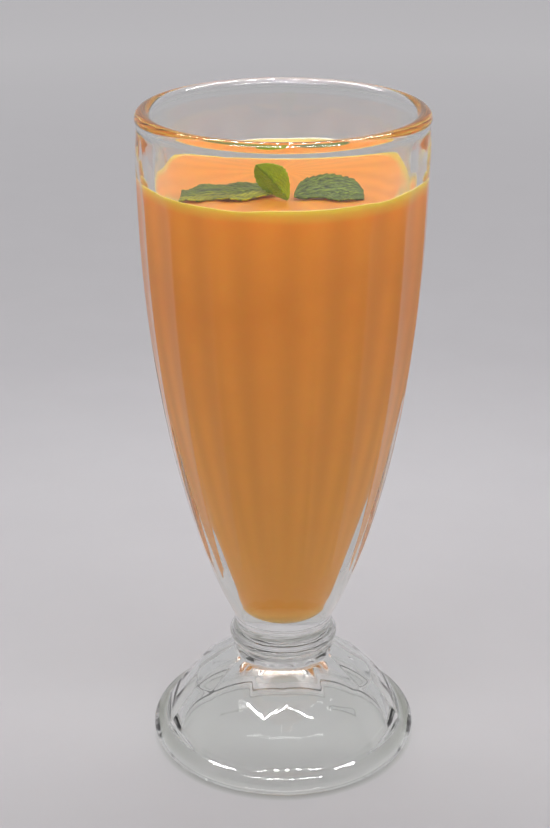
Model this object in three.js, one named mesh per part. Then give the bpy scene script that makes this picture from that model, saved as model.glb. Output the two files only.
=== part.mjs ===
// Mango lassi in a footed soda-fountain glass, with three mint leaves lying on the drink.
// Millimetres, +Z up, the middle of the foot's underside at the origin, the front towards -Y.
import * as THREE from "three";

// Sizes of the glass
const GLASS_HEIGHT = 200;
const AROUND = 72; // steps around the glass
const TURN = THREE.MathUtils.degToRad(3); // turn of the pressed pattern from the front

// Lip: a round bead
const LIP_RADIUS = 41.3;
const LIP_ROUND = 2.2;
const LIP_STEPS = 7;
const LIP_UNDERCUT = THREE.MathUtils.degToRad(30);

// Bowl: outer and inner tulip curves as four control points (radius, height)
const BOWL_OUTER = [
  [15.06, 42.33],
  [29.32, 69.99],
  [42.12, 122.9],
  [41.24, 190],
];
const BOWL_OUTER_STEPS = 12;
const BOWL_INNER = [
  [36.9, 197.8],
  [35.5, 119],
  [10.5, 65],
  [7.3, 49.4],
];
const BOWL_INNER_STEPS = 9;
const BOWL_FLOOR = 44.8;
const BOWL_FLOOR_STEPS = 4;
const COLLAR = [
  [41, 193],
  [40.9, 195],
]; // plain band between the flutes and the lip

// Flutes: shallow hollows up the outside of the bowl, with arched tops
const FLUTE_COUNT = 18;
const FLUTE_DEPTH = 0.95;
const FLUTE_TOP = 191;
const FLUTE_TOP_RUN = 11;
const FLUTE_BOTTOM = 56;
const FLUTE_BOTTOM_RUN = 24;

// Neck: a rounded ring between bowl and foot
const RING_CENTRE_RADIUS = 14.35;
const RING_CENTRE_HEIGHT = 35.6;
const RING_ROUND = 2.2;
const RING_FROM = THREE.MathUtils.degToRad(-58);
const RING_TO = THREE.MathUtils.degToRad(56);
const RING_STEPS = 5;
const NECK = [
  [15.35, 30.6],
  [15.15, 32.2],
];
const WAIST = [
  [15.2, 39.2],
  [15, 41],
];

// Foot: a hollow bell with two rows of flat facets above a round base ring
const BASE_CENTRE_RADIUS = 37.3;
const BASE_ROUND = 3.6;
const BASE_FROM = THREE.MathUtils.degToRad(-80);
const BASE_STEPS = 4;
const FACET_COUNT = 12;
const FACET_MEET_RADIUS = 27.15;
const FACET_MEET_HEIGHT = 20.65;
const LOWER_FACET_SLOPE = -0.72;
const UPPER_FACET_SLOPE = -1.34;
const FACET_ROWS = [5.2, 6.4, 7.6, 11, 15, 19.1, 20.1, 21.2, 22.2, 26, 29.6];
const HOLLOW = [
  [0, 22.5],
  [19, 22.5],
  [31, 12],
  [33.8, 2.2],
];
const HOLLOW_STEPS = 6;
const HOLLOW_EDGE = [
  [34.6, 0.6],
  [35.9, 0],
];

// Drink
const LASSI_LEVEL = 180.2;
const LASSI_EDGE_RISE = 1.1;
const LASSI_EDGE_WIDTH = 2.2;
const LASSI_AROUND = 36;
const FIT_GAP = 0.3; // clear space between neighbouring pieces

// Mint leaves: x and y of the stalk end, then sizes and angles of each leaf
const LEAF_THICKNESS = 0.5;
const LEAF_ROWS = 12;
const LEAF_COLUMNS = 6;
const LEAF_RIPPLES = 5;
const LEAVES = {
  mint_leaf_left: {
    base: [-2.6, -18], length: 24.6, halves: [4.6, 6.3], full: 0.45, widest: 1.2,
    heading: 184.5, pitch: -0.5, roll: -9, fold: 8, arch: 1.4, wave: 0.2,
    stalk: 0.8, tip: 0.5, color: 0x5c7f3c,
  },
  mint_leaf_middle: {
    base: [1.2, -21.8], length: 12, halves: [4.6, 4.3], full: 0.75, widest: 1.15,
    heading: 180, pitch: 46, roll: 72, fold: 6, arch: 0.5, wave: 0.15,
    stalk: 0.7, tip: 0.4, color: 0x5b9426,
  },
  mint_leaf_right: {
    base: [3, -20.6], length: 18.2, halves: [9.2, 3.2], full: 0.42, widest: 1.05,
    heading: -1, pitch: 1, roll: 13, fold: 5, arch: 1.2, wave: 0.25,
    stalk: 0.7, tip: 0.5, color: 0x4f7d4a,
  },
};

// Curve through four control points, as a list of points
function curve(controls, steps) {
  const [a, b, c, d] = controls.map(([r, z]) => new THREE.Vector2(r, z));
  return new THREE.CubicBezierCurve(a, b, c, d).getPoints(steps);
}

function points(pairs) {
  return pairs.map(([r, z]) => new THREE.Vector2(r, z));
}

// Arc of a circle in the profile, both ends included
function arc(centreRadius, centreHeight, radius, from, to, steps) {
  const list = [];
  for (let i = 0; i <= steps; i++) {
    const angle = from + ((to - from) * i) / steps;
    list.push(new THREE.Vector2(
      centreRadius + radius * Math.cos(angle),
      centreHeight + radius * Math.sin(angle),
    ));
  }
  return list;
}

// Distance in angle from the middle of the nearest of several equal panels
function panelAngle(phi, count, turn) {
  const pitch = (2 * Math.PI) / count;
  const along = (phi - turn + pitch / 2) / pitch;
  return (along - Math.floor(along) - 0.5) * pitch;
}

// Radius of the foot at a height: the nearer of the two rows of flat facets, or the base ring
function footRadius(z, phi) {
  const half = Math.PI / FACET_COUNT;
  const rise = z - FACET_MEET_HEIGHT;
  const lower = FACET_MEET_RADIUS + LOWER_FACET_SLOPE * rise;
  const upper = FACET_MEET_RADIUS + UPPER_FACET_SLOPE * rise;
  const facet = Math.min(
    lower / Math.cos(panelAngle(phi, FACET_COUNT, TURN)),
    upper / Math.cos(panelAngle(phi, FACET_COUNT, TURN + half)),
  );
  const up = z - BASE_ROUND;
  if (up >= BASE_ROUND) return facet;
  return Math.max(facet, BASE_CENTRE_RADIUS + Math.sqrt(BASE_ROUND * BASE_ROUND - up * up));
}

// Depth of a flute at a height and angle, running out at both ends
function fluteDepth(z, phi, radius) {
  const across = (panelAngle(phi, FLUTE_COUNT, TURN) * FLUTE_COUNT) / Math.PI;
  const above = Math.max(0, z - (FLUTE_TOP - FLUTE_TOP_RUN)) / FLUTE_TOP_RUN;
  const below = Math.max(0, FLUTE_BOTTOM + FLUTE_BOTTOM_RUN - z) / FLUTE_BOTTOM_RUN;
  const hollow = 1 - across * across - above * above - below * below;
  return (FLUTE_DEPTH * radius * Math.max(0, hollow)) / LIP_RADIUS;
}

// Turned solid from a profile, its radius changed row by row where a rule is given
function turned(profile, steps, start, rule) {
  const geometry = new THREE.LatheGeometry(profile, steps, start);
  geometry.deleteAttribute("normal");
  geometry.deleteAttribute("uv");
  const place = geometry.getAttribute("position");
  for (let i = 0; i < place.count; i++) {
    const row = i % profile.length;
    const { x: radius, y: height } = profile[row];
    const phi = start + (2 * Math.PI * Math.floor(i / profile.length)) / steps;
    const r = rule ? rule(row, radius, height, phi) : radius;
    place.setXYZ(i, r * Math.sin(phi), height, r * Math.cos(phi));
  }
  geometry.rotateX(Math.PI / 2);
  return geometry;
}

function glassGeometry() {
  const hollow = [...curve(HOLLOW, HOLLOW_STEPS), ...points(HOLLOW_EDGE)];
  const base = arc(BASE_CENTRE_RADIUS, BASE_ROUND, BASE_ROUND, BASE_FROM, 0, BASE_STEPS);
  base[0].y = 0;
  const foot = FACET_ROWS.map((z) => new THREE.Vector2(footRadius(z, TURN), z));
  const ring = arc(
    RING_CENTRE_RADIUS, RING_CENTRE_HEIGHT, RING_ROUND, RING_FROM, RING_TO, RING_STEPS,
  );
  const bowl = curve(BOWL_OUTER, BOWL_OUTER_STEPS);
  const lip = arc(
    LIP_RADIUS - LIP_ROUND, GLASS_HEIGHT - LIP_ROUND, LIP_ROUND, -LIP_UNDERCUT, Math.PI, LIP_STEPS,
  );
  const inside = curve(BOWL_INNER, BOWL_INNER_STEPS).slice(1);
  const floor = bowlFloor(0);
  const footStart = hollow.length + base.length;
  const bowlStart = footStart + foot.length + NECK.length + ring.length + WAIST.length;
  const profile = [
    ...hollow, ...base, ...foot, ...points(NECK), ...ring, ...points(WAIST),
    ...bowl, ...points(COLLAR), ...lip, ...inside, ...floor,
  ];
  return turned(profile, AROUND, TURN, (row, radius, height, phi) => {
    if (row >= footStart && row < footStart + foot.length) return footRadius(height, phi);
    if (row >= bowlStart && row < bowlStart + bowl.length)
      return radius - fluteDepth(height, phi, radius);
    return radius;
  });
}

// Rounded floor of the bowl, from the end of the inner curve down to the axis
function bowlFloor(gap) {
  const [radius, height] = BOWL_INNER[3];
  const list = [];
  for (let i = 1; i <= BOWL_FLOOR_STEPS; i++) {
    const angle = (Math.PI / 2) * (i / BOWL_FLOOR_STEPS);
    list.push(new THREE.Vector2(
      i === BOWL_FLOOR_STEPS ? 0 : (radius - gap) * Math.cos(angle),
      height - (height - BOWL_FLOOR - gap) * Math.sin(angle),
    ));
  }
  return list;
}

// Drink: fills the bowl to its level, drawn up a little where it meets the wall
function lassiGeometry() {
  const inside = curve(BOWL_INNER, BOWL_INNER_STEPS);
  const under = inside.findIndex((p) => p.y < LASSI_LEVEL);
  const rise = inside[under - 1].y - inside[under].y;
  const share = (LASSI_LEVEL - inside[under].y) / rise;
  const edge = THREE.MathUtils.lerp(inside[under].x, inside[under - 1].x, share) - FIT_GAP;
  const wall = inside.slice(under).map((p) => new THREE.Vector2(p.x - FIT_GAP, p.y));
  const top = [
    new THREE.Vector2(edge, LASSI_LEVEL + LASSI_EDGE_RISE),
    new THREE.Vector2(edge - LASSI_EDGE_WIDTH / 3, LASSI_LEVEL + LASSI_EDGE_RISE / 3),
    new THREE.Vector2(edge - LASSI_EDGE_WIDTH, LASSI_LEVEL),
    new THREE.Vector2(0, LASSI_LEVEL),
  ];
  const profile = [...bowlFloor(FIT_GAP).reverse(), ...wall.reverse(), ...top];
  return turned(profile, LASSI_AROUND, TURN);
}

// Leaf: a thin curved blade, folded at its midrib, both faces split alike
function leafGeometry(leaf) {
  const turn = new THREE.Euler(
    THREE.MathUtils.degToRad(leaf.roll),
    THREE.MathUtils.degToRad(-leaf.pitch),
    THREE.MathUtils.degToRad(leaf.heading),
    "ZYX",
  );
  const fold = Math.tan(THREE.MathUtils.degToRad(leaf.fold));
  const across = LEAF_COLUMNS + 1;
  const sheet = across * (LEAF_ROWS + 1);
  const place = [];
  for (const side of [1, -1]) {
    for (let i = 0; i <= LEAF_ROWS; i++) {
      const s = i / LEAF_ROWS;
      const blade = Math.pow(Math.max(0, Math.sin(Math.PI * s ** leaf.widest)), leaf.full);
      const least = leaf.stalk + (leaf.tip - leaf.stalk) * s;
      for (let j = 0; j <= LEAF_COLUMNS; j++) {
        const v = (2 * j) / LEAF_COLUMNS - 1;
        const half = Math.max(blade * leaf.halves[v > 0 ? 0 : 1], least);
        const ripple = leaf.wave * v * v * Math.sin(LEAF_RIPPLES * Math.PI * s + (v > 0 ? 0 : 2));
        const lift = leaf.arch * 4 * s * (1 - s) + fold * Math.abs(v) * half + ripple;
        place.push(
          new THREE.Vector3(leaf.length * s, half * v, lift + (side * LEAF_THICKNESS) / 2)
            .applyEuler(turn),
        );
      }
    }
  }
  const lowest = Math.min(...place.map((p) => p.z));
  const lift = LASSI_LEVEL + FIT_GAP - lowest;
  const flat = place.flatMap((p) => [p.x + leaf.base[0], p.y + leaf.base[1], p.z + lift]);
  const faces = [];
  const quad = (a, b, c, d) => faces.push(a, b, c, a, c, d);
  for (let i = 0; i < LEAF_ROWS; i++) {
    for (let j = 0; j < LEAF_COLUMNS; j++) {
      const a = i * across + j;
      const b = a + across;
      quad(a, b, b + 1, a + 1);
      faces.push(sheet + a, sheet + b + 1, sheet + b, sheet + a, sheet + a + 1, sheet + b + 1);
    }
  }
  for (let i = 0; i < LEAF_ROWS; i++) {
    const a = i * across;
    const b = a + LEAF_COLUMNS;
    quad(a, sheet + a, sheet + a + across, a + across);
    quad(b, b + across, sheet + b + across, sheet + b);
  }
  for (let j = 0; j < LEAF_COLUMNS; j++) {
    const last = LEAF_ROWS * across + j;
    quad(j, j + 1, sheet + j + 1, sheet + j);
    quad(last, sheet + last, sheet + last + 1, last + 1);
  }
  const geometry = new THREE.BufferGeometry();
  geometry.setAttribute("position", new THREE.Float32BufferAttribute(flat, 3));
  geometry.setIndex(faces);
  return geometry;
}

function piece(name, geometry, color, roughness) {
  const material = new THREE.MeshStandardMaterial({ color, roughness, metalness: 0 });
  const mesh = new THREE.Mesh(geometry, material);
  mesh.name = name;
  return mesh;
}

const group = new THREE.Group();
group.add(piece("glass", glassGeometry(), 0xdfe6e4, 0.05));
group.add(piece("lassi", lassiGeometry(), 0xf2a544, 0.35));
for (const [name, leaf] of Object.entries(LEAVES))
  group.add(piece(name, leafGeometry(leaf), leaf.color, 0.5));

export default group;
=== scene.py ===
from math import atan2, cos, exp, floor, hypot, pi, radians, sin, sqrt, tan

import bmesh
import bpy
from mathutils import Euler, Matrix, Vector


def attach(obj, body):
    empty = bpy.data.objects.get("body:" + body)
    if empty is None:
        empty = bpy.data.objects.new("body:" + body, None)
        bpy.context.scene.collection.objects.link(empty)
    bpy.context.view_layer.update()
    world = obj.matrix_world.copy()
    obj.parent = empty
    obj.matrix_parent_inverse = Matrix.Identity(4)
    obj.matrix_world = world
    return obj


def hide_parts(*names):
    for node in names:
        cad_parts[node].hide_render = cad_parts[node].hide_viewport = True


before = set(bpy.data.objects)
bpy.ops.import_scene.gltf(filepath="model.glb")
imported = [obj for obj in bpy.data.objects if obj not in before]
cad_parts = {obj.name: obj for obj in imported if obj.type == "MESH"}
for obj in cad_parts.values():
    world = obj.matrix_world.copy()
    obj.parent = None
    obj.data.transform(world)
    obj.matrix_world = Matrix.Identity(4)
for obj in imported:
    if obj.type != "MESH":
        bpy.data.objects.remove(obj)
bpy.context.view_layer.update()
scene = bpy.context.scene

# The glass: a thick footed fountain glass, pressed in one piece from clear soda glass and
# fire-polished. Eighteen shallow flutes run up the bowl, and two rows of twelve flat facets
# meet on the hollow foot above a round base ring.
MM = 0.001
GLASS_HEIGHT = 200
PATTERN_TURN = radians(3)
GLASS_STEPS = 360
GLASS_TINT = (0.936, 0.943, 0.928, 1)
LIGHT_THROUGH = (0.9, 0.915, 0.9, 1)  # share of light that each face lets past
FLUTED, FACETED = 1, 2  # marks of the profile's two pressed stretches
FOOT_HOLLOW = [(0, 22.5), (19, 22.5), (31, 12), (33.8, 2.2)]
FOOT_HOLLOW_ROWS = 18
FOOT_EDGE = [(34.15, 1.5), (34.6, 0.95), (35.1, 0.52), (35.7, 0.2), (36.3, 0.04), (36.9, 0)]
BASE_CENTRE = 37.3
BASE_ROUND = 3.6
BASE_START = -80  # degrees below level where the flat under the ring ends
BASE_ROWS = 12
FACET_COUNT = 12
FACET_MEET = (27.15, 20.65)  # radius and height where the two rows of facets meet
LOWER_SLOPE = -0.72
UPPER_SLOPE = -1.34
FACET_TOP = 29.6
FACET_ROWS = 52
FACET_SOFT = 0.35  # rounding of the ridges between facets of one row
ROW_SOFT = 0.5  # rounding of the zigzag ridge between the rows
BASE_SOFT = 0.25  # rounding where the facets meet the base ring
SCALLOP = 0.9  # dip of the lower facets behind the base ring
SCALLOP_RUN = 6
NECK = [(15.35, 30.6), (15.2, 31.6), (15.15, 32.6), (15.3, 33.3)]
NECK_RING = (14.35, 35.6)
NECK_RING_ROUND = 2.2
NECK_RING_TURN = 52
NECK_RING_ROWS = 11
WAIST = [(15.45, 38.1), (15.2, 39.2), (15.06, 40.4), (15.0, 41.4)]
BOWL_OUTER = [(15.06, 42.33), (29.32, 69.99), (42.12, 122.9), (41.24, 190)]
BOWL_OUTER_ROWS = 56
BOWL_INNER = [(36.9, 197.8), (35.5, 119), (10.5, 65), (7.3, 49.4)]
BOWL_INNER_ROWS = 40
BOWL_FLOOR = 44.8
BOWL_FLOOR_ROWS = 10
FLUTE_COUNT = 18
FLUTE_DEPTH = 0.95
FLUTE_TOP = 187
FLUTE_TOP_RUN = 18
FLUTE_BOTTOM = 56
FLUTE_BOTTOM_RUN = 24
FLUTE_SOFT = 0.14
COLLAR = [(41.1, 191.6), (41, 193), (40.93, 194.2), (40.9, 195.2)]
LIP_RADIUS = 41.3
LIP_ROUND = 2.2
LIP_UNDERCUT = -30
LIP_ROWS = 20


def bezier(controls, steps):
    a, b, c, d = (Vector(p) for p in controls)
    curve = []
    for i in range(steps + 1):
        t = i / steps
        s = 1 - t
        curve.append(a * s**3 + b * (3 * s * s * t) + c * (3 * s * t * t) + d * t**3)
    return curve


def rounding(centre, radius, start, stop, steps):
    turns = [radians(start + (stop - start) * i / steps) for i in range(steps + 1)]
    return [(centre[0] + radius * cos(t), centre[1] + radius * sin(t)) for t in turns]


def bowl_floor(steps):
    edge, height = BOWL_INNER[-1]
    turns = [pi / 2 * i / steps for i in range(1, steps)]
    dish = [(edge * cos(t), height - (height - BOWL_FLOOR) * sin(t)) for t in turns]
    return dish + [(0, BOWL_FLOOR)]


def soft_less(a, b, soft):
    near = max(soft - abs(a - b), 0) / soft
    return min(a, b) - near * near * soft / 4


def from_panel_middle(phi, count, turn):
    pitch = 2 * pi / count
    along = (phi - turn) / pitch + 0.5
    return (along - floor(along) - 0.5) * pitch


def facet_row(reach, phi, turn):
    off = from_panel_middle(phi, FACET_COUNT, turn)
    beside = 2 * pi / FACET_COUNT - abs(off)
    return soft_less(reach / cos(off), reach / cos(beside), FACET_SOFT)


def foot_radius(z, phi):
    rise = z - FACET_MEET[1]
    dip = SCALLOP * max(0, 1 - max(0, z - 2 * BASE_ROUND) / SCALLOP_RUN) ** 2
    lower = facet_row(FACET_MEET[0] + LOWER_SLOPE * rise - dip, phi, PATTERN_TURN)
    upper = facet_row(
        FACET_MEET[0] + UPPER_SLOPE * rise, phi, PATTERN_TURN + pi / FACET_COUNT
    )
    facet = soft_less(lower, upper, ROW_SOFT)
    up = z - BASE_ROUND
    if up >= BASE_ROUND:
        return facet
    ring = BASE_CENTRE + sqrt(BASE_ROUND**2 - up * up)
    return -soft_less(-facet, -ring, BASE_SOFT)


def flute_depth(z, phi, radius):
    across = from_panel_middle(phi, FLUTE_COUNT, PATTERN_TURN) * FLUTE_COUNT / pi
    above = max(0, z - FLUTE_TOP + FLUTE_TOP_RUN) / FLUTE_TOP_RUN
    below = max(0, FLUTE_BOTTOM + FLUTE_BOTTOM_RUN - z) / FLUTE_BOTTOM_RUN
    hollow = 1 - across * across - above * above - below * below
    return -FLUTE_DEPTH * radius / LIP_RADIUS * soft_less(0, -hollow, FLUTE_SOFT)


def spin_profile(runs, steps):
    """Spins runs of (radius, height) points, each with its mark, round the glass's axis."""
    bm = bmesh.new()
    mark = bm.verts.layers.int.new("mark")
    last = None
    for points, kind in runs:
        for radius, height in points:
            vert = bm.verts.new((0, -radius * MM, height * MM))
            vert[mark] = kind
            if last:
                bm.edges.new((last, vert))
            last = vert
    bmesh.ops.spin(
        bm, geom=bm.verts[:] + bm.edges[:], cent=(0, 0, 0), axis=(0, 0, 1),
        angle=2 * pi, steps=steps, use_merge=True,
    )
    bmesh.ops.remove_doubles(bm, verts=bm.verts, dist=1e-7)
    return bm, mark


def finish_piece(bm, name, material):
    bmesh.ops.recalc_face_normals(bm, faces=bm.faces)
    for face in bm.faces:
        face.smooth = True
    mesh = bpy.data.meshes.new(name)
    bm.to_mesh(mesh)
    bm.free()
    mesh.materials.append(material)
    piece = bpy.data.objects.new(name, mesh)
    scene.collection.objects.link(piece)
    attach(piece, "root")
    return piece


def new_finish(name, **sockets):
    """A material whose Principled shader has these plain sockets set, and that shader."""
    material = bpy.data.materials.new(name)
    material.use_nodes = True
    shader = material.node_tree.nodes["Principled BSDF"]
    for socket, value in sockets.items():
        shader.inputs[socket.replace("_", " ")].default_value = value
    return material, shader


def add_node(tree, kind, values=None, **settings):
    node = tree.nodes.new(kind)
    for setting, value in settings.items():
        setattr(node, setting, value)
    for socket, value in (values or {}).items():
        node.inputs[socket].default_value = value
    return node


glass_profile = [
    (bezier(FOOT_HOLLOW, FOOT_HOLLOW_ROWS) + FOOT_EDGE, 0),
    (rounding((BASE_CENTRE, BASE_ROUND), BASE_ROUND, BASE_START, 0, BASE_ROWS), 0),
    (
        [
            (BASE_CENTRE, BASE_ROUND + (FACET_TOP - BASE_ROUND) * (i + 1) / FACET_ROWS)
            for i in range(FACET_ROWS)
        ],
        FACETED,
    ),
    (NECK, 0),
    (
        rounding(
            NECK_RING, NECK_RING_ROUND, -NECK_RING_TURN, NECK_RING_TURN, NECK_RING_ROWS
        ),
        0,
    ),
    (WAIST, 0),
    (bezier(BOWL_OUTER, BOWL_OUTER_ROWS), FLUTED),
    (COLLAR, 0),
    (
        rounding(
            (LIP_RADIUS - LIP_ROUND, GLASS_HEIGHT - LIP_ROUND),
            LIP_ROUND, LIP_UNDERCUT, 180, LIP_ROWS,
        ),
        0,
    ),
    (bezier(BOWL_INNER, BOWL_INNER_ROWS)[1:] + bowl_floor(BOWL_FLOOR_ROWS), 0),
]
glass_mesh, pressed = spin_profile(glass_profile, GLASS_STEPS)
for vert in glass_mesh.verts:
    radius = hypot(vert.co.x, vert.co.y) / MM
    phi = atan2(vert.co.x, -vert.co.y)
    height = vert.co.z / MM
    if vert[pressed] == FACETED:
        wanted = foot_radius(height, phi)
    elif vert[pressed] == FLUTED:
        wanted = radius - flute_depth(height, phi, radius)
    else:
        continue
    vert.co.x *= wanted / radius
    vert.co.y *= wanted / radius
glass_mesh.verts.layers.int.remove(pressed)

clear_glass, shader = new_finish(
    "clear_pressed_glass", Base_Color=GLASS_TINT, Roughness=0.0, IOR=1.5,
    Transmission_Weight=1.0,
)
tree = clear_glass.node_tree
where = add_node(tree, "ShaderNodeTexCoord")
ripple = add_node(tree, "ShaderNodeTexNoise", {"Scale": 85.0, "Detail": 1.0})
tree.links.new(where.outputs["Object"], ripple.inputs["Vector"])
mould = add_node(tree, "ShaderNodeBump", {"Strength": 0.15, "Distance": 0.0004})
tree.links.new(ripple.outputs["Fac"], mould.inputs["Height"])
tree.links.new(mould.outputs["Normal"], shader.inputs["Normal"])
passing = add_node(tree, "ShaderNodeBsdfTransparent", {"Color": LIGHT_THROUGH})
ray = add_node(tree, "ShaderNodeLightPath")
showing = shader.outputs["BSDF"]
for kind in ("Is Shadow Ray", "Is Diffuse Ray"):
    either = add_node(tree, "ShaderNodeMixShader")
    tree.links.new(ray.outputs[kind], either.inputs[0])
    tree.links.new(showing, either.inputs[1])
    tree.links.new(passing.outputs["BSDF"], either.inputs[2])
    showing = either.outputs["Shader"]
tree.links.new(showing, tree.nodes["Material Output"].inputs["Surface"])
glass = finish_piece(glass_mesh, "glass_body", clear_glass)
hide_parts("glass")

# The lassi: mango pulp blended with yoghurt, thick and opaque, poured to just under the lip.
# It wets the wall in a thin yellower film, which stands higher at the back than in front.
LASSI_LEVEL = 180.2
LASSI_STEPS = 180
LASSI_TOP_ROWS, FILM_ROWS, WALL_ROWS, LASSI_FLOOR_ROWS = 14, 12, 90, 14
INTO_WALL = 0.12  # reach into the glass, so that no air shows between them
FILM_WIDTH = 3.0
FILM_RISE = 1.15
FILM_RISE_BACK = 1.3
FILM_TILT = 0.5  # higher on the right than on the left
FILM_UNEVEN = 0.35
FILM_WAVES = ((5, 1, 0.6), (11, 2, 0.4))  # waves round the wall, start and share
FILM_LIP = (0.2, 0.7)  # rows below its upper edge that keep the edge crisp
FILM_MARKS = ((-152, 0.05, -1.6), (112, 0.16, 1.3), (-100, 0.1, -0.6))  # bearing, spread, gain
FILM_WAVER = 1.6  # how far the film's tone wanders up and down
FILM_FADE = (-1.8, 1.4)  # heights over the level between which the drink turns to film
FILM_BAND = (2.4, 0.8)  # distances from the wall between which it does so
FILM_COLOUR = (0.86, 0.52, 0.06, 1)
SMEAR_FADE = (2.2, 3.4)  # heights over the level between which the film thins to a smear
SMEAR_COLOUR = (0.62, 0.52, 0.22, 1)
SWELL = 0.1
LASSI_DEEP = (0.82, 0.262, 0.018, 1)
LASSI_BRIGHT = (0.88, 0.302, 0.026, 1)
# Painted light on the drink: lighter and yellower low down, where floor light comes up through
# the foot, and brighter just under the surface, where the top light falls.
LASSI_PAINTED_LIGHT = (
    (150, 70, (0.89, 0.375, 0.052, 1)),
    (51, 45, (0.92, 0.56, 0.16, 1)),
    (158, 180, (0.95, 0.305, 0.02, 1)),
)  # heights between which painted light changes the drink, and its colour from the second one on
STREAK_FADE = (55, 110)
STREAK = 0.1  # brighter where a ridge between flutes gathers light on the drink
LASSI_TOP = 1


def wet_wall(height):
    wall = bezier(BOWL_INNER, 200)
    return min(wall, key=lambda p: abs(p[1] - height))[0] + INTO_WALL


lassi_edge = wet_wall(LASSI_LEVEL + 1)
top_reach = lassi_edge - FILM_WIDTH
top_rows = [i * top_reach / LASSI_TOP_ROWS for i in range(LASSI_TOP_ROWS + 1)]
film_rows = [lassi_edge - FILM_WIDTH * (1 - i / FILM_ROWS) for i in range(1, FILM_ROWS + 1)]
wall_rows = [p for p in bezier(BOWL_INNER, WALL_ROWS) if p[1] < LASSI_LEVEL - 1]
lassi_profile = [
    ([(r, LASSI_LEVEL) for r in top_rows + film_rows], LASSI_TOP),
    ([(lassi_edge, LASSI_LEVEL - drop) for drop in FILM_LIP], LASSI_TOP),
    ([(r + INTO_WALL, z) for r, z in wall_rows], 0),
    (
        [
            (r + INTO_WALL if r > 0 else 0, z - INTO_WALL)
            for r, z in bowl_floor(LASSI_FLOOR_ROWS)
        ],
        0,
    ),
]
lassi_mesh, surface = spin_profile(lassi_profile, LASSI_STEPS)
for vert in lassi_mesh.verts:
    if vert[surface] != LASSI_TOP:
        continue
    x, y = vert.co.x / MM, vert.co.y / MM
    phi = atan2(x, -y)
    climb = max(0, (hypot(x, y) - lassi_edge + FILM_WIDTH) / FILM_WIDTH)
    rise = FILM_RISE + FILM_RISE_BACK * max(0, -cos(phi)) ** 2 + FILM_TILT * sin(phi)
    for count, start, share in FILM_WAVES:
        rise += FILM_UNEVEN * share * sin(count * phi + start)
    for mark, spread, gain in FILM_MARKS:
        rise += gain * exp(-((from_panel_middle(phi, 1, radians(mark)) / spread) ** 2))
    swell = SWELL * (sin(x / 7 + 1) * cos(y / 6) + 0.5 * sin(x / 3.1 + y / 4.3))
    vert.co.z += (rise * climb**3 + swell * (1 - climb)) * MM
lassi_mesh.verts.layers.int.remove(surface)

mango_lassi, shader = new_finish("mango_lassi", Roughness=0.33, IOR=1.36)
shader.inputs["Subsurface Weight"].default_value = 0.5
shader.inputs["Subsurface Radius"].default_value = (1.0, 0.55, 0.2)
shader.inputs["Subsurface Scale"].default_value = 0.006
tree = mango_lassi.node_tree
where = add_node(tree, "ShaderNodeTexCoord")
clouds = add_node(tree, "ShaderNodeTexNoise", {"Scale": 55.0, "Detail": 3.0})
pulp = add_node(tree, "ShaderNodeTexNoise", {"Scale": 900.0, "Detail": 2.0})
for pattern in (clouds, pulp):
    tree.links.new(where.outputs["Object"], pattern.inputs["Vector"])
drink_ramp = add_node(tree, "ShaderNodeValToRGB")
drink_ramp.color_ramp.elements[0].position = 0.3
drink_ramp.color_ramp.elements[0].color = LASSI_DEEP
drink_ramp.color_ramp.elements[1].position = 0.7
drink_ramp.color_ramp.elements[1].color = LASSI_BRIGHT
tree.links.new(clouds.outputs["Fac"], drink_ramp.inputs["Fac"])
spot = add_node(tree, "ShaderNodeSeparateXYZ")
tree.links.new(where.outputs["Object"], spot.inputs["Vector"])


def reckon(tree, operation, first, second=None, third=None):
    node = add_node(tree, "ShaderNodeMath", operation=operation)
    for slot, value in enumerate((first, second, third)):
        if isinstance(value, (int, float)):
            node.inputs[slot].default_value = value
        elif value is not None:
            tree.links.new(value, node.inputs[slot])
    return node.outputs["Value"]


nearer = reckon(tree, "MULTIPLY", spot.outputs["Y"], -1)
bearing = reckon(tree, "ARCTAN2", spot.outputs["X"], nearer)
panel = reckon(tree, "MULTIPLY_ADD", bearing, FLUTE_COUNT, -FLUTE_COUNT * PATTERN_TURN)
fading = add_node(
    tree, "ShaderNodeMapRange",
    {
        "From Min": STREAK_FADE[0] * MM, "From Max": STREAK_FADE[1] * MM,
        "To Min": 0.0, "To Max": -STREAK,
    },
)
tree.links.new(spot.outputs["Z"], fading.inputs["Value"])
streak = reckon(tree, "MULTIPLY", reckon(tree, "COSINE", panel), clouds.outputs["Fac"])
streak = reckon(tree, "MULTIPLY_ADD", streak, fading.outputs["Result"], 1)
shown = drink_ramp.outputs["Color"]
# painted light, changing with height
for first, last, colour in LASSI_PAINTED_LIGHT:
    painted_light_span = add_node(
        tree, "ShaderNodeMapRange", {"From Min": first * MM, "From Max": last * MM}
    )
    tree.links.new(spot.outputs["Z"], painted_light_span.inputs["Value"])
    painted_light_mix = add_node(tree, "ShaderNodeMix", data_type="RGBA")
    painted_light_mix.inputs[7].default_value = colour
    tree.links.new(painted_light_span.outputs["Result"], painted_light_mix.inputs[0])
    tree.links.new(shown, painted_light_mix.inputs[6])
    shown = painted_light_mix.outputs[2]
streaked = add_node(tree, "ShaderNodeMix", data_type="RGBA", blend_type="MULTIPLY")
streaked.inputs[0].default_value = 1
tree.links.new(shown, streaked.inputs[6])
tree.links.new(streak, streaked.inputs[7])
waver = reckon(
    tree, "MULTIPLY_ADD", clouds.outputs["Fac"], FILM_WAVER * MM, spot.outputs["Z"]
)
wet = add_node(
    tree, "ShaderNodeMapRange",
    {
        "From Min": (LASSI_LEVEL + FILM_FADE[0]) * MM,
        "From Max": (LASSI_LEVEL + FILM_FADE[1]) * MM,
    },
)
tree.links.new(waver, wet.inputs["Value"])
sideways = add_node(tree, "ShaderNodeVectorMath", {1: (1, 1, 0)}, operation="MULTIPLY")
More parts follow.
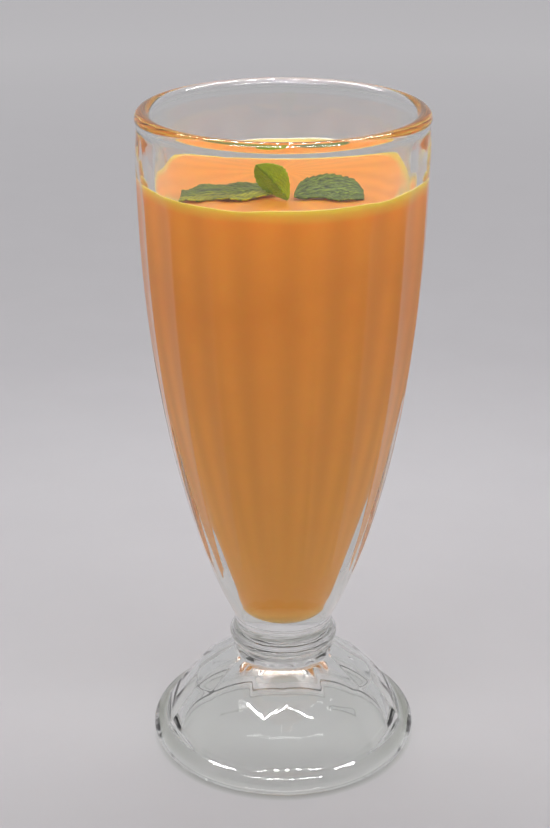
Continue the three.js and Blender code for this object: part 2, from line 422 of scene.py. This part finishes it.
tree.links.new(where.outputs["Object"], sideways.inputs[0])
from_axis = add_node(tree, "ShaderNodeVectorMath", operation="LENGTH")
tree.links.new(sideways.outputs["Vector"], from_axis.inputs[0])
by_wall = add_node(
    tree, "ShaderNodeMapRange",
    {
        "From Min": (lassi_edge - FILM_BAND[0]) * MM,
        "From Max": (lassi_edge - FILM_BAND[1]) * MM,
    },
)
tree.links.new(from_axis.outputs["Value"], by_wall.inputs["Value"])
film = reckon(tree, "MULTIPLY", wet.outputs["Result"], by_wall.outputs["Result"])
thin = add_node(tree, "ShaderNodeMix", data_type="RGBA")
thin.inputs[7].default_value = FILM_COLOUR
tree.links.new(film, thin.inputs[0])
tree.links.new(streaked.outputs[2], thin.inputs[6])
smear = add_node(
    tree, "ShaderNodeMapRange",
    {
        "From Min": (LASSI_LEVEL + SMEAR_FADE[0]) * MM,
        "From Max": (LASSI_LEVEL + SMEAR_FADE[1]) * MM,
    },
)
tree.links.new(waver, smear.inputs["Value"])
pale = add_node(tree, "ShaderNodeMix", data_type="RGBA")
pale.inputs[7].default_value = SMEAR_COLOUR
tree.links.new(smear.outputs["Result"], pale.inputs[0])
tree.links.new(thin.outputs[2], pale.inputs[6])
tree.links.new(pale.outputs[2], shader.inputs["Base Color"])
grainy = add_node(tree, "ShaderNodeBump", {"Strength": 0.2, "Distance": 0.0002})
tree.links.new(pulp.outputs["Fac"], grainy.inputs["Height"])
tree.links.new(grainy.outputs["Normal"], shader.inputs["Normal"])
gloss = add_node(tree, "ShaderNodeMapRange", {"To Min": 0.26, "To Max": 0.42})
tree.links.new(clouds.outputs["Fac"], gloss.inputs["Value"])
tree.links.new(gloss.outputs["Result"], shader.inputs["Roughness"])
lassi = finish_piece(lassi_mesh, "lassi_drink", mango_lassi)
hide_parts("lassi")

# The mint: three fresh leaves of one sprig lying on the drink, the middle one on edge. Each is
# a thin toothed blade with a grooved midrib, quilted between its side veins and creased along.
LEAF_THICKNESS = 0.45
LEAF_ROWS, LEAF_COLUMNS = 72, 24
LEAF_RIPPLES = 5
LEAF_SINK = 0.1  # depth that a leaf's lowest point presses into the drink
VEIN_COUNT = 7
VEIN_LEAN = 1.0
VEIN_GROOVE = 0.28
VEIN_FADE, MIDRIB_FADE = 5, 11  # how quickly their dark lines end at the sides
VEIN_STRENGTH = 0.95
MOTTLE = 0.28
TOOTH_COUNT = 10
TOOTH_DEPTH = 0.09
CRUMPLE_SPREAD = (5, 24, 1)  # creases along a blade and across it
CRUMPLE_SHIFT = (90, 90, 0)  # so that no two leaves crease alike


def leaf_mesh(
    base, length, halves, square, full, widest, heading, pitch, roll, fold, arch, wave, stalk,
    tip,
):
    bm = bmesh.new()
    bmesh.ops.create_grid(bm, x_segments=LEAF_ROWS, y_segments=LEAF_COLUMNS, size=1)
    leaf_uv = bm.loops.layers.uv.new("leaf")
    for face in bm.faces:
        for corner in face.loops:
            corner[leaf_uv].uv = ((corner.vert.co.x + 1) / 2, (corner.vert.co.y + 1) / 2)
    turn = Euler((radians(roll), radians(-pitch), radians(heading)), "XYZ").to_matrix()
    for vert in bm.verts:
        along, across = (vert.co.x + 1) / 2, vert.co.y
        blade = max(0, 1 - abs(2 * along**widest - 1) ** square) ** full
        half = max(blade * halves[0 if across > 0 else 1], stalk + (tip - stalk) * along)
        tooth = along * TOOTH_COUNT - floor(along * TOOTH_COUNT)
        half *= 1 + TOOTH_DEPTH * (tooth - 0.7) * abs(across) ** 5
        vein = (along - VEIN_LEAN * abs(across)) * VEIN_COUNT
        off_vein = abs(vein - floor(vein) - 0.5) * 2
        quilt = -VEIN_GROOVE * blade * exp(-((1 - off_vein) * 4) ** 2) * (1 - abs(across) ** 4)
        rib = -VEIN_GROOVE * 1.5 * blade * exp(-((across * 9) ** 2))
        ripple = wave * across**2 * sin(LEAF_RIPPLES * pi * along + (0 if across > 0 else 2))
        lift = arch * 4 * along * (1 - along) + tan(radians(fold)) * abs(across) * half
        vert.co = turn @ Vector((length * along, half * across, lift + ripple + quilt + rib))
    bmesh.ops.recalc_face_normals(bm, faces=bm.faces)
    bmesh.ops.solidify(bm, geom=bm.faces[:], thickness=LEAF_THICKNESS)
    drop = LASSI_LEVEL - LEAF_SINK - min(vert.co.z for vert in bm.verts)
    bmesh.ops.translate(bm, verts=bm.verts, vec=(base[0], base[1], drop))
    bmesh.ops.scale(bm, verts=bm.verts, vec=(MM, MM, MM))
    return bm


def build_leaf_veins():
    """Node group: veins, mottling and creases of a mint blade, from its own UV map."""
    veins = bpy.data.node_groups.new("mint_veins", "ShaderNodeTree")
    veins.interface.new_socket("Veins", in_out="OUTPUT", socket_type="NodeSocketFloat")
    veins.interface.new_socket("Mottle", in_out="OUTPUT", socket_type="NodeSocketFloat")
    veins.interface.new_socket("Across", in_out="OUTPUT", socket_type="NodeSocketFloat")
    veins.interface.new_socket("Crumple", in_out="OUTPUT", socket_type="NodeSocketFloat")
    blade = add_node(veins, "ShaderNodeUVMap", uv_map="leaf")
    parts = add_node(veins, "ShaderNodeSeparateXYZ")
    veins.links.new(blade.outputs["UV"], parts.inputs["Vector"])

    side = reckon(veins, "MULTIPLY_ADD", parts.outputs["Y"], 2, -1)
    out = reckon(veins, "ABSOLUTE", side)
    phase = reckon(veins, "MULTIPLY_ADD", out, -VEIN_LEAN, parts.outputs["X"])
    phase = reckon(veins, "FRACT", reckon(veins, "MULTIPLY", phase, VEIN_COUNT))
    off = reckon(veins, "ABSOLUTE", reckon(veins, "SUBTRACT", phase, 0.5))
    side_vein = reckon(veins, "SUBTRACT", 1, reckon(veins, "MULTIPLY", off, VEIN_FADE))
    midrib = reckon(veins, "SUBTRACT", 1, reckon(veins, "MULTIPLY", out, MIDRIB_FADE))
    both = reckon(veins, "MAXIMUM", reckon(veins, "MAXIMUM", side_vein, midrib), 0)
    place = add_node(veins, "ShaderNodeTexCoord")
    mottle = add_node(veins, "ShaderNodeTexNoise", {"Scale": 420.0, "Detail": 4.0})
    veins.links.new(place.outputs["Object"], mottle.inputs["Vector"])
    spread = add_node(veins, "ShaderNodeVectorMath", {1: CRUMPLE_SPREAD}, operation="MULTIPLY")
    veins.links.new(blade.outputs["UV"], spread.inputs[0])
    moved = add_node(veins, "ShaderNodeVectorMath", {1: CRUMPLE_SHIFT}, operation="MULTIPLY_ADD")
    veins.links.new(place.outputs["Object"], moved.inputs[0])
    veins.links.new(spread.outputs["Vector"], moved.inputs[2])
    creases = add_node(
        veins, "ShaderNodeTexNoise",
        {"Scale": 1.0, "Detail": 3.0, "Roughness": 0.6, "Distortion": 0.5},
    )
    veins.links.new(moved.outputs["Vector"], creases.inputs["Vector"])
    crumple = add_node(veins, "ShaderNodeMapRange", {"From Min": 0.36, "From Max": 0.64})
    veins.links.new(creases.outputs["Fac"], crumple.inputs["Value"])
    ends = add_node(veins, "NodeGroupOutput")
    veins.links.new(crumple.outputs["Result"], ends.inputs["Crumple"])
    veins.links.new(both, ends.inputs["Veins"])
    veins.links.new(mottle.outputs["Fac"], ends.inputs["Mottle"])
    veins.links.new(parts.outputs["Y"], ends.inputs["Across"])
    return veins


leaf_veins = build_leaf_veins()


def leaf_finish(name, far_half_shade_colour, near_half_lit_colour, vein_colour, lit_side_band, gloss, crease):
    finish, shader = new_finish(name, Roughness=gloss, Specular_IOR_Level=0.12)
    shader.inputs["Subsurface Weight"].default_value = 0.15
    shader.inputs["Subsurface Radius"].default_value = (0.4, 0.8, 0.1)
    shader.inputs["Subsurface Scale"].default_value = 0.001
    tree = finish.node_tree
    pattern = add_node(tree, "ShaderNodeGroup", node_tree=leaf_veins)
    # painted light and shade: the near half of a blade is coloured lighter, as if lit, and the
    # far half darker, as if shaded
    lit_side = add_node(
        tree, "ShaderNodeMapRange",
        {"From Min": lit_side_band[0], "From Max": lit_side_band[1]},
    )
    tree.links.new(pattern.outputs["Across"], lit_side.inputs["Value"])
    lit_and_shaded_halves = add_node(tree, "ShaderNodeMix", data_type="RGBA")
    lit_and_shaded_halves.inputs[6].default_value = far_half_shade_colour
    lit_and_shaded_halves.inputs[7].default_value = near_half_lit_colour
    tree.links.new(lit_side.outputs["Result"], lit_and_shaded_halves.inputs[0])
    shade = add_node(tree, "ShaderNodeMapRange", {"To Min": 1 - MOTTLE, "To Max": 1 + MOTTLE})
    tree.links.new(pattern.outputs["Mottle"], shade.inputs["Value"])
    # painted shade and light: the colour is darker in the hollows of the creases and lighter on
    # their ridges, following the relief of the bump below
    crease_painted_shade = add_node(tree, "ShaderNodeMapRange", {"To Min": 1 - crease, "To Max": 1 + crease})
    tree.links.new(pattern.outputs["Crumple"], crease_painted_shade.inputs["Value"])
    mottled = add_node(tree, "ShaderNodeMix", data_type="RGBA", blend_type="MULTIPLY")
    mottled.inputs[0].default_value = 1
    tree.links.new(lit_and_shaded_halves.outputs[2], mottled.inputs[6])
    both = reckon(tree, "MULTIPLY", shade.outputs["Result"], crease_painted_shade.outputs["Result"])
    tree.links.new(both, mottled.inputs[7])
    ribbed = add_node(tree, "ShaderNodeMix", data_type="RGBA")
    ribbed.inputs[7].default_value = vein_colour
    strength = reckon(tree, "MULTIPLY", pattern.outputs["Veins"], VEIN_STRENGTH)
    tree.links.new(strength, ribbed.inputs[0])
    tree.links.new(mottled.outputs[2], ribbed.inputs[6])
    tree.links.new(ribbed.outputs[2], shader.inputs["Base Color"])
    skin = add_node(tree, "ShaderNodeBump", {"Strength": 0.6, "Distance": 0.0005})
    relief = reckon(
        tree, "MULTIPLY_ADD", pattern.outputs["Crumple"], crease, pattern.outputs["Mottle"]
    )
    tree.links.new(relief, skin.inputs["Height"])
    tree.links.new(skin.outputs["Normal"], shader.inputs["Normal"])
    return finish


# The left leaf's near half is painted a lit yellow green and its far half a shaded darker green.
leaf_left = finish_piece(
    leaf_mesh(
        base=(-2.6, -18), length=24.6, halves=(4.8, 4.2), square=4, full=0.33, widest=1.0,
        heading=184.5, pitch=-0.5, roll=-6, fold=2, arch=0.2, wave=0.3, stalk=1.0, tip=4.2,
    ),
    "left_mint_leaf",
    leaf_finish(
        "mint_left_green", (0.155, 0.175, 0.008, 1), (0.37, 0.335, 0.002, 1),
        (0.07, 0.095, 0.006, 1), (0.42, 0.56), 0.5, 0.8,
    ),
)
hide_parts("mint_leaf_left")
# The middle leaf stands on edge in shade; its greens are painted lighter, as if lit.
leaf_middle = finish_piece(
    leaf_mesh(
        base=(1.2, -21.8), length=12, halves=(4.6, 4.3), square=2, full=0.75, widest=1.15,
        heading=180, pitch=46, roll=72, fold=6, arch=0.5, wave=0.15, stalk=0.7, tip=0.4,
    ),
    "middle_mint_leaf",
    leaf_finish(
        "mint_middle_green", (0.31, 0.44, 0.003, 1), (0.40, 0.53, 0.006, 1),
        (0.15, 0.27, 0.002, 1), (0.3, 0.7), 0.45, 0.12,
    ),
)
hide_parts("mint_leaf_middle")
leaf_right = finish_piece(
    leaf_mesh(
        base=(3, -20.6), length=18.2, halves=(8.0, 2.4), square=3, full=0.5, widest=1.2,
        heading=-1, pitch=0, roll=12, fold=3, arch=0.1, wave=0.2, stalk=0.8, tip=2.2,
    ),
    "right_mint_leaf",
    leaf_finish(
        "mint_right_green", (0.15, 0.19, 0.018, 1), (0.15, 0.19, 0.018, 1),
        (0.06, 0.09, 0.01, 1), (0.3, 0.7), 0.5, 0.8,
    ),
)
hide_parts("mint_leaf_right")

# The floor: a wide pale matt board in a slightly violet grey, which lies under the glass and
# grows lighter far away; painted light makes it darker in front and lighter at the back. It has
# a painted shadow in a soft line where the base ring rests on it.
FLOOR_HALF = 2.5
BOARD_DARK = (0.545, 0.53, 0.55, 1)
BOARD_LIGHT = (0.575, 0.56, 0.58, 1)
BOARD_FAR = (0.95, 0.935, 0.95, 1)
BOARD_LIFT = (0.35, 1.1)  # distances between which the board grows lighter
FRONT_PAINTED_LIGHT = (-0.1, 0.8)  # depth and tone of the painted light at the front
BACK_PAINTED_LIGHT = (0.12, 1.12)  # depth and tone of the painted light at the back
CONTACT_WIDTH = 0.004
CONTACT_SHADE = 0.75
CONTACT_SHADOW_COLOUR = (0.13, 0.13, 0.10, 1)
floor_board = bmesh.new()
bmesh.ops.create_grid(floor_board, x_segments=1, y_segments=1, size=FLOOR_HALF)
floor_mesh = bpy.data.meshes.new("floor")
floor_board.to_mesh(floor_mesh)
floor_board.free()
pale_board, shader = new_finish("pale_board", Roughness=0.7)
tree = pale_board.node_tree
where = add_node(tree, "ShaderNodeTexCoord")
fibre = add_node(tree, "ShaderNodeTexNoise", {"Scale": 30.0, "Detail": 5.0})
tree.links.new(where.outputs["Object"], fibre.inputs["Vector"])
paper = add_node(tree, "ShaderNodeValToRGB")
paper.color_ramp.elements[0].color = BOARD_DARK
paper.color_ramp.elements[1].color = BOARD_LIGHT
tree.links.new(fibre.outputs["Fac"], paper.inputs["Fac"])
away = add_node(tree, "ShaderNodeVectorMath", operation="LENGTH")
tree.links.new(where.outputs["Object"], away.inputs[0])
sweep = add_node(
    tree, "ShaderNodeMapRange", {"From Min": BOARD_LIFT[0], "From Max": BOARD_LIFT[1]}
)
tree.links.new(away.outputs["Value"], sweep.inputs["Value"])
lifted = add_node(tree, "ShaderNodeMix", data_type="RGBA")
lifted.inputs[7].default_value = BOARD_FAR
tree.links.new(sweep.outputs["Result"], lifted.inputs[0])
tree.links.new(paper.outputs["Color"], lifted.inputs[6])
# painted shadow: a soft dark ring on the board where the glass's base ring rests
contact_shadow_mask = add_node(
    tree, "ShaderNodeMapRange",
    {"From Min": CONTACT_WIDTH, "From Max": 0.0, "To Min": 0.0, "To Max": CONTACT_SHADE},
)
gap = reckon(tree, "SUBTRACT", away.outputs["Value"], BASE_CENTRE * MM)
gap = reckon(tree, "ABSOLUTE", gap)
tree.links.new(gap, contact_shadow_mask.inputs["Value"])
contact_shadowed = add_node(tree, "ShaderNodeMix", data_type="RGBA")
contact_shadowed.inputs[7].default_value = CONTACT_SHADOW_COLOUR
tree.links.new(contact_shadow_mask.outputs["Result"], contact_shadowed.inputs[0])
tree.links.new(lifted.outputs[2], contact_shadowed.inputs[6])
# painted light: the board is darker towards the front and lighter towards the back
depth = add_node(tree, "ShaderNodeSeparateXYZ")
tree.links.new(where.outputs["Object"], depth.inputs["Vector"])
tone = add_node(
    tree, "ShaderNodeMapRange",
    {
        "From Min": FRONT_PAINTED_LIGHT[0], "From Max": BACK_PAINTED_LIGHT[0],
        "To Min": FRONT_PAINTED_LIGHT[1], "To Max": BACK_PAINTED_LIGHT[1],
    },
)
tree.links.new(depth.outputs["Y"], tone.inputs["Value"])
floor_painted_light = add_node(tree, "ShaderNodeMix", data_type="RGBA", blend_type="MULTIPLY")
floor_painted_light.inputs[0].default_value = 1
tree.links.new(contact_shadowed.outputs[2], floor_painted_light.inputs[6])
tree.links.new(tone.outputs["Result"], floor_painted_light.inputs[7])
tree.links.new(floor_painted_light.outputs[2], shader.inputs["Base Color"])
floor_mesh.materials.append(pale_board)
studio_floor = bpy.data.objects.new("floor", floor_mesh)
scene.collection.objects.link(studio_floor)

# The light: two long soft strips overhead, a soft panel on each side, two rows of small lamps
# that show as glints in the glass, and pale surroundings that are darker towards the front.
SOFT_LIGHTS = {
    "back_strip": ((0, 0.16, 0.46), (0, 0.16, 0), (0.4, 0.03), 0.5),
    "front_strip": ((0, -0.16, 0.46), (0, -0.16, 0), (0.4, 0.03), 0.6),
    "left_panel": ((-0.75, -0.55, 0.5), (0, 0, 0.12), (0.6, 0.6), 2.65),
    "right_panel": ((0.75, -0.55, 0.5), (0, 0, 0.12), (0.6, 0.6), 2.65),
}
LAMP_ROWS = (0.16, -0.16)
LAMP_HEIGHT = 0.454
LAMP_COUNT = 24
LAMP_PITCH = 0.0167
LAMP_SIZE = (0.006, 0.045)
LAMP_POWER = 0.12
TENT_FRONT = (0.15, (0.245, 0.245, 0.25, 1))  # place from front to back, and tone
TENT_BACK = (0.6, (0.505, 0.5, 0.51, 1))


def hang_lamp(name, place, aim, size, power):
    lamp = bpy.data.lights.new(name, "AREA")
    lamp.shape = "RECTANGLE"
    lamp.size, lamp.size_y = size
    lamp.energy = power
    holder = bpy.data.objects.new(name, lamp)
    holder.location = place
    down = Vector(aim) - Vector(place)
    holder.rotation_euler = down.to_track_quat("-Z", "Y").to_euler()
    scene.collection.objects.link(holder)
    return holder


for name, (place, aim, size, power) in SOFT_LIGHTS.items():
    soft_light = hang_lamp(name, place, aim, size, power)
    soft_light.visible_glossy = False
    soft_light.visible_transmission = False
for row, depth in enumerate(LAMP_ROWS):
    for i in range(LAMP_COUNT):
        across = (i - (LAMP_COUNT - 1) / 2) * LAMP_PITCH
        glint = hang_lamp(
            f"lamp_{row}_{i}", (across, depth, LAMP_HEIGHT), (across, depth, 0),
            LAMP_SIZE, LAMP_POWER,
        )
        glint.visible_diffuse = False
surroundings = bpy.data.worlds.new("light_tent")
surroundings.use_nodes = True
scene.world = surroundings
tree = surroundings.node_tree
facing = add_node(tree, "ShaderNodeTexCoord")
parts = add_node(tree, "ShaderNodeSeparateXYZ")
tree.links.new(facing.outputs["Generated"], parts.inputs["Vector"])
tent = add_node(tree, "ShaderNodeValToRGB")
for stop, (place, tone) in zip(tent.color_ramp.elements, (TENT_FRONT, TENT_BACK)):
    stop.position = place
    stop.color = tone
along = reckon(tree, "MULTIPLY_ADD", parts.outputs["Y"], 0.5, 0.5)
tree.links.new(along, tent.inputs["Fac"])
tree.links.new(tent.outputs["Color"], tree.nodes["Background"].inputs["Color"])

# The camera: in front and above the lip, looking down at the drink. Its lens and shift are those
# of an upright image of 550 by 828 pixels.
CAMERA_PLACE = (0, -0.483157, 0.311232)
CAMERA_DOWN = 0.398
SENSOR = 36
IMAGE_WIDTH, IMAGE_HEIGHT = 550, 828
FOCAL_PIXELS = 1766.978
AXIS_COLUMN = 283.3
view_camera = bpy.data.cameras.new("view_camera")
view_camera.sensor_width = SENSOR
view_camera.lens = FOCAL_PIXELS * SENSOR / IMAGE_HEIGHT
view_camera.shift_x = (IMAGE_WIDTH / 2 - AXIS_COLUMN) / IMAGE_HEIGHT
camera = bpy.data.objects.new("view_camera", view_camera)
camera.location = CAMERA_PLACE
camera.rotation_euler = (pi / 2 - CAMERA_DOWN, 0, 0)
scene.collection.objects.link(camera)
scene.camera = camera
scene.view_settings.view_transform = "Standard"
scene.cycles.max_bounces = 24
scene.cycles.transmission_bounces = 24
scene.cycles.glossy_bounces = 6
scene.cycles.transparent_max_bounces = 16
